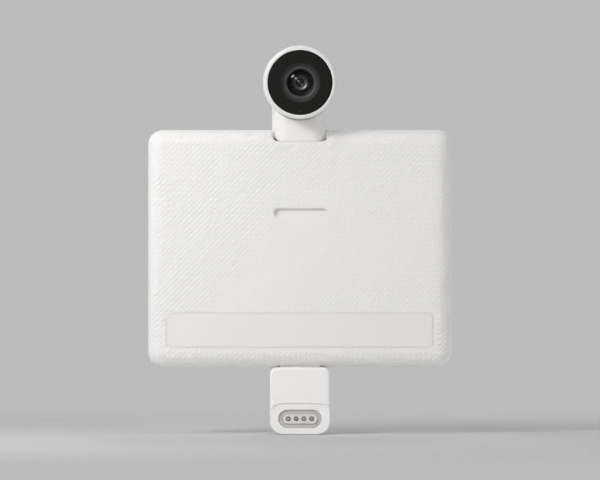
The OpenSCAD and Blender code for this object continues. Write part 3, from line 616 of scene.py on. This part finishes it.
upright = add(spread, "GeometryNodeTransform", {
    "Geometry": staggered.outputs[0], "Translation": (0.0, -IN_FRONT, 0.0),
    "Rotation": (math.radians(90), math.radians(-45), 0.0)})
cover = add(spread, "GeometryNodeObjectInfo", {"Object": s_in["Cover"]})
ray = add(spread, "GeometryNodeRaycast", {
    "Target Geometry": cover.outputs["Geometry"], "Ray Direction": (0.0, 1.0, 0.0), "Ray Length": 0.05})
print("lattice nodes:", len(spread.nodes))

# %% [markdown]
# Each point now knows where its ray lands. The tests below give 1 where a dash is not wanted, and the
# highest of them decides. Maximum nodes are the plain way to say "any of these" with numbers.

# %% Test each point
SLOT_AT, SLOT_LONG, SLOT_HIGH = 11.8 * MM, 17.3 * MM, 2.9 * MM
NOTCH_AT, NOTCH_HALF_X, NOTCH_HALF_Z = 40.0 * MM, 9.4 * MM, 5.2 * MM
KEEP_CLEAR = {
    "slot": ((0.0, SLOT_AT), (SLOT_LONG / 2, SLOT_HIGH / 2)),
    "strip": (((strip_low.x + strip_high.x) / 2, (strip_low.z + strip_high.z) / 2),
              ((strip_high.x - strip_low.x) / 2, (strip_high.z - strip_low.z) / 2)),
    "notch": ((0.0, NOTCH_AT), (NOTCH_HALF_X, NOTCH_HALF_Z)),
}
CLEAR_EDGE = 0.9 * MM
hit = add(spread, "ShaderNodeSeparateXYZ", {0: ray.outputs["Hit Position"]})
facing = add(spread, "ShaderNodeSeparateXYZ", {0: ray.outputs["Hit Normal"]})
to_front = calc(spread, "MULTIPLY", facing.outputs["Y"], -1.0)
tests = [calc(spread, "LESS_THAN", ray.outputs["Is Hit"], 0.5),
         calc(spread, "LESS_THAN", to_front, s_in["Least Facing"])]
for (x, z), (half_x, half_z) in KEEP_CLEAR.values():
    off_x = calc(spread, "ABSOLUTE", calc(spread, "SUBTRACT", hit.outputs["X"], x))
    off_z = calc(spread, "ABSOLUTE", calc(spread, "SUBTRACT", hit.outputs["Z"], z))
    tests.append(calc(spread, "MULTIPLY", calc(spread, "LESS_THAN", off_x, half_x + CLEAR_EDGE),
                      calc(spread, "LESS_THAN", off_z, half_z + CLEAR_EDGE)))
unwanted = tests[0]
for test in tests[1:]:
    unwanted = calc(spread, "MAXIMUM", unwanted, test)
print("tests on each point:", len(tests))

# %% [markdown]
# The points move to where their rays land, and the unwanted ones go. The normal of the cover is stored
# before the points move, because each dash has to stand on it. Two Align nodes turn a dash: one stands it
# up along the normal, the other lays it along the diagonal. The tree ends in real faces with a material,
# so that the result can be kept as a plain mesh.

# %% Set the dashes on the cover
landed = add(spread, "GeometryNodeSetPosition", {
    "Geometry": upright.outputs[0], "Position": ray.outputs["Hit Position"]})
marked = add(spread, "GeometryNodeStoreNamedAttribute", {
    "Geometry": upright.outputs[0], "Name": "drop", "Value": unwanted}, data_type="FLOAT", domain="POINT")
up = add(spread, "GeometryNodeStoreNamedAttribute", {
    "Geometry": marked.outputs[0], "Name": "up", "Value": ray.outputs["Hit Normal"]},
    data_type="FLOAT_VECTOR", domain="POINT")
spread.links.new(up.outputs[0], landed.inputs["Geometry"])
dropped = add(spread, "GeometryNodeInputNamedAttribute", {"Name": "drop"}, data_type="FLOAT")
cleared = add(spread, "GeometryNodeDeleteGeometry", {
    "Geometry": landed.outputs[0], "Selection": calc(spread, "GREATER_THAN", dropped.outputs[0], 0.5)})
upward = add(spread, "GeometryNodeInputNamedAttribute", {"Name": "up"}, data_type="FLOAT_VECTOR")
stood = add(spread, "FunctionNodeAlignRotationToVector", {"Vector": upward.outputs[0]}, axis="Z")
turned_along = add(spread, "FunctionNodeAlignRotationToVector", {
    "Rotation": stood.outputs[0], "Vector": (1.0, 0.0, 1.0)}, axis="X", pivot_axis="Z")
shape = add(spread, "GeometryNodeObjectInfo", {"Object": s_in["Dash"]})
set_dashes = add(spread, "GeometryNodeInstanceOnPoints", {
    "Points": cleared.outputs[0], "Instance": shape.outputs["Geometry"],
    "Rotation": turned_along.outputs[0]})
real = add(spread, "GeometryNodeRealizeInstances", {"Geometry": set_dashes.outputs[0]})
named = add(spread, "GeometryNodeSetMaterial", {"Geometry": real.outputs[0], "Material": s_in["Material"]})
spread.links.new(named.outputs[0], s_out["Geometry"])
print("nodes that spread the dashes:", len(spread.nodes))

# %% [markdown]
# A tree only describes a mesh. It is put on an empty object as a modifier, its inputs are set by their
# socket identifiers, and the evaluated result becomes a plain mesh that can ride on a body.

# %% Run a tree and keep its mesh
def grown(name, tree, values):
    holder = bpy.data.objects.new(name + "_holder", bpy.data.meshes.new(name + "_holder"))
    bpy.context.scene.collection.objects.link(holder)
    modifier = holder.modifiers.new("nodes", "NODES")
    modifier.node_group = tree
    for item in tree.interface.items_tree:
        if item.item_type == "SOCKET" and item.in_out == "INPUT" and item.name in values:
            modifier[item.identifier] = values[item.name]
    shown = holder.evaluated_get(bpy.context.evaluated_depsgraph_get())
    data = bpy.data.meshes.new_from_object(shown)
    holder.modifiers.remove(modifier)
    bpy.data.objects.remove(holder)
    data.name = name
    obj = bpy.data.objects.new(name, data)
    bpy.context.scene.collection.objects.link(obj)
    return obj


body_weave = grown("body_weave", spread, {
    "Cover": solids["front_cover"], "Dash": dash, "Material": body_skin})
for attribute in ("drop", "up"):
    if attribute in body_weave.data.attributes:
        body_weave.data.attributes.remove(body_weave.data.attributes[attribute])
bpy.data.objects.remove(dash)
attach(body_weave, "hub_body")
faces = len(body_weave.data.polygons)
print("dashes:", faces // DASH_FACES, "faces:", faces)

# %% [markdown]
# ## The springs of the contacts
# In the solids each spring is a sleeve of the size that its coil fills. The real one is a wound wire, and
# winding a wire is a rule: a circle that climbs. The Spiral node draws it, and a small circle gives the wire
# its thickness.

# %% The tree that winds a spring
wind, w_in, w_out = new_group(
    "wind_spring", "GeometryNodeTree",
    [("Length", VALUE, 0.0024), ("Coil Radius", VALUE, 0.00046), ("Wire Radius", VALUE, 0.00008),
     ("Turns", VALUE, 7.0), ("Place", VECTOR, None), ("Material", MATERIAL, None)],
    [("Geometry", GEOMETRY)])
rise = calc(wind, "MULTIPLY_ADD", w_in["Wire Radius"], -2.0, w_in["Length"])
helix = add(wind, "GeometryNodeCurveSpiral", {
    "Resolution": 18, "Rotations": w_in["Turns"], "Start Radius": w_in["Coil Radius"],
    "End Radius": w_in["Coil Radius"], "Height": rise})
wire = add(wind, "GeometryNodeCurvePrimitiveCircle", {"Resolution": 8, "Radius": w_in["Wire Radius"]})
coil = add(wind, "GeometryNodeCurveToMesh", {
    "Curve": helix.outputs[0], "Profile Curve": wire.outputs[0], "Fill Caps": True})
laid = add(wind, "GeometryNodeTransform", {
    "Geometry": coil.outputs[0], "Translation": w_in["Place"], "Rotation": (math.radians(90), 0.0, 0.0)})
whole = add(wind, "GeometryNodeRealizeInstances", {"Geometry": laid.outputs[0]})
named = add(wind, "GeometryNodeSetMaterial", {"Geometry": whole.outputs[0], "Material": w_in["Material"]})
wind.links.new(named.outputs[0], w_out["Geometry"])
print("nodes that wind a spring:", len(wind.nodes))

# %% [markdown]
# Each spring takes the place of its sleeve and rests on the dock board.

# %% Wind the four springs
WIRE, TURNS, TRAVEL = 0.08 * MM, 7.0, 0.7 * MM
for number in range(1, 5):
    node = f"contact_spring_{number}"
    low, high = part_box(node)
    centre = (low + high) / 2
    length = high.y - low.y
    spring = grown(f"spring_coil_{number}", wind, {
        "Length": length, "Coil Radius": (high.x - low.x) / 2 - WIRE, "Wire Radius": WIRE, "Turns": TURNS,
        "Place": Vector((centre.x, high.y - WIRE, centre.z)), "Material": screw_steel})
    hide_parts(node)
    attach(spring, "hub_body")
    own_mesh(spring)
print("springs of", round(length / MM, 2), "mm with", len(spring.data.polygons), "faces each")

# %% [markdown]
# ## The camera's ribbon
# A flat film with printed lines runs from the main board up through the neck into the head. It is the one
# piece that crosses the hinge. It is cut into short lengths, and the printed lines stand out of the film by
# a hair.

# %% Make the ribbon
low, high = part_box("camera_ribbon")
LINES, CUTS = 10, 48
FILM_T, LINE_T = 0.14 * MM, 0.2 * MM
LINE_SHAPE = ((0.0, FILM_T), (0.25, FILM_T), (0.3, LINE_T), (0.7, LINE_T), (0.75, FILM_T))
film_y = (low.y + high.y) / 2
step = (high.x - low.x) / LINES
profile = []
for i in range(LINES):
    profile += [(low.x + (i + share) * step, thick) for share, thick in LINE_SHAPE]
profile.append((high.x, FILM_T))
section = [(x, film_y - t / 2) for x, t in profile] + [(x, film_y + t / 2) for x, t in reversed(profile)]
mesh = bmesh.new()
layers = []
for i in range(CUTS + 1):
    z = low.z + (high.z - low.z) * i / CUTS
    layers.append([mesh.verts.new((x, y, z)) for x, y in section])
for one, two in zip(layers, layers[1:]):
    for i in range(len(section)):
        j = (i + 1) % len(section)
        mesh.faces.new((one[i], one[j], two[j], two[i]))
mesh.faces.new(layers[0][::-1])
mesh.faces.new(layers[-1])
bmesh.ops.recalc_face_normals(mesh, faces=mesh.faces)
ribbon = mesh_piece("camera_film", mesh, ribbon_amber)
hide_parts("camera_ribbon")
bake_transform(ribbon)
print("ribbon", round((high.z - low.z) / MM, 1), "mm long in", CUTS, "lengths")

# %% [markdown]
# ## The stage
# A pale floor lies under the pod and fades out into an equally pale background, so that no line crosses
# the picture behind the hub. The floor keeps the hub's shadow. Its fade reads its own object coordinates,
# and seen from below it is clear. The camera sees it in the background's grey, while the light that
# bounces off it is that of a lighter paper: Light Path tells the two apart.

# %% Lay the floor
PALE, BOUNCED = 0.50, 0.67
FLOOR_REACH, FADE_FROM, FADE_TO = 0.6, 0.07, 0.34
bpy.ops.mesh.primitive_circle_add(
    vertices=96, radius=FLOOR_REACH, fill_type="NGON", location=(0, 0, cad_box[0][2]))
floor = bpy.context.object
floor.name = "floor"
floor_paint = bpy.data.materials.new("floor_paint")
floor_paint.use_nodes = True
tree = floor_paint.node_tree
shader = tree.nodes["Principled BSDF"]
shown = add(tree, "ShaderNodeMix", {
    "Factor": add(tree, "ShaderNodeLightPath").outputs["Is Camera Ray"], 2: BOUNCED, 3: PALE})
tree.links.new(shown.outputs[0], shader.inputs["Base Color"])
shader.inputs["Roughness"].default_value = 0.9
place = add(tree, "ShaderNodeTexCoord").outputs["Object"]
far = add(tree, "ShaderNodeVectorMath", {0: place}, operation="LENGTH").outputs["Value"]
fade = add(tree, "ShaderNodeMapRange", {
    "Value": far, "From Min": FADE_FROM, "From Max": FADE_TO, "To Min": 1.0, "To Max": 0.0},
    interpolation_type="SMOOTHSTEP")
above = calc(tree, "SUBTRACT", 1.0, add(tree, "ShaderNodeNewGeometry").outputs["Backfacing"])
tree.links.new(calc(tree, "MULTIPLY", fade.outputs[0], above), shader.inputs["Alpha"])
floor.data.materials.append(floor_paint)
print("floor at", round(cad_box[0][2] / MM, 2), "mm")

# %% [markdown]
# The world does two jobs. Rays from the camera, and those that glass and gloss send on, see the plain
# pale backdrop. All other rays see the soft light of the room, which fills the shadows.

# %% Make the room and the backdrop
world = bpy.data.worlds.new("studio")
bpy.context.scene.world = world
world.use_nodes = True
tree = world.node_tree
tree.nodes.clear()
path = add(tree, "ShaderNodeLightPath")
seen = calc(tree, "MAXIMUM", path.outputs["Is Camera Ray"], path.outputs["Is Transmission Ray"])
seen = calc(tree, "MAXIMUM", seen, path.outputs["Is Glossy Ray"])
ROOM_LIGHT = 0.37
room = add(tree, "ShaderNodeBackground", {"Color": (1, 1, 1, 1), "Strength": ROOM_LIGHT})
backdrop = add(tree, "ShaderNodeBackground", {"Color": (PALE, PALE, PALE, 1), "Strength": 1.0})
both = add(tree, "ShaderNodeMixShader", {0: seen, 1: room.outputs[0], 2: backdrop.outputs[0]})
add(tree, "ShaderNodeOutputWorld", {"Surface": both.outputs[0]})
print("room light:", ROOM_LIGHT, "backdrop:", PALE)

# %% [markdown]
# ## The light
# The photo has one main light to the upper left. A small key lamp stands there and draws the shadow in
# the key slot. A wide wash on the same side, one lamp above and a fill to the right soften it, as big
# white cards do in a studio. The spark is seen only by glossy surfaces: it makes the highlights on the
# glass without lighting the plastic. The other lamps are hidden from glossy surfaces, so the lens shows
# one lamp and not five. The rear lamp lights the back for the other views.

# %% Set the lamps
def lamp(name, place, aim, size, power):
    data = bpy.data.lights.new(name, "AREA")
    data.shape, data.size, data.energy = "DISK", size, power
    obj = bpy.data.objects.new(name, data)
    bpy.context.scene.collection.objects.link(obj)
    place, aim = Vector(place), Vector(aim)
    obj.location = place
    obj.rotation_mode = "QUATERNION"
    obj.rotation_quaternion = (aim - place).to_track_quat("-Z", "Y")
    return obj


key = lamp("key", (-0.20, -0.18, 0.16), (-0.02, 0, 0), 0.10, 0.45)
wash = lamp("wash", (-0.375, -0.300, 0.140), (0, 0, 0), 0.40, 0.405)
top = lamp("top", (0.0, -0.12, 0.55), (0, 0, 0), 0.40, 0.44)
fill = lamp("fill", (0.40, -0.28, -0.01), (0, 0, -0.02), 0.30, 0.50)
for soft in (key, wash, top, fill):
    soft.visible_glossy = False
spark = lamp("spark", (-0.264, -0.446, 0.300), (0, 0, 0), 0.16, 5.90)
spark.visible_diffuse = False
rear = lamp("rear", (0.16, 0.52, 0.26), (0, 0, 0), 0.40, 1.5)
rear.visible_glossy = False

# %% [markdown]
# ## The camera
# The picture is a front view from far away, a degree above level, so a long lens stands well back. The
# width that the frame covers at the face of the body sets its focal length.

# %% Set the camera
FRAME_WIDTH, FRAME_HEIGHT_AT, DISTANCE = 0.1954, 2.86 * MM, 4.0
EYE_ABOVE = math.radians(1.0)
eye = bpy.data.cameras.new("eye")
eye.sensor_width = 36
eye.lens = eye.sensor_width * DISTANCE / FRAME_WIDTH
camera = bpy.data.objects.new("eye", eye)
camera.location = (0, -DISTANCE * math.cos(EYE_ABOVE), FRAME_HEIGHT_AT + DISTANCE * math.sin(EYE_ABOVE))
camera.rotation_euler = (math.radians(90) - EYE_ABOVE, 0, 0)
eye.clip_end = 20
bpy.context.scene.collection.objects.link(camera)
bpy.context.scene.camera = camera
bpy.context.scene.view_settings.view_transform = "Standard"
print("focal length", round(eye.lens, 1), "mm")
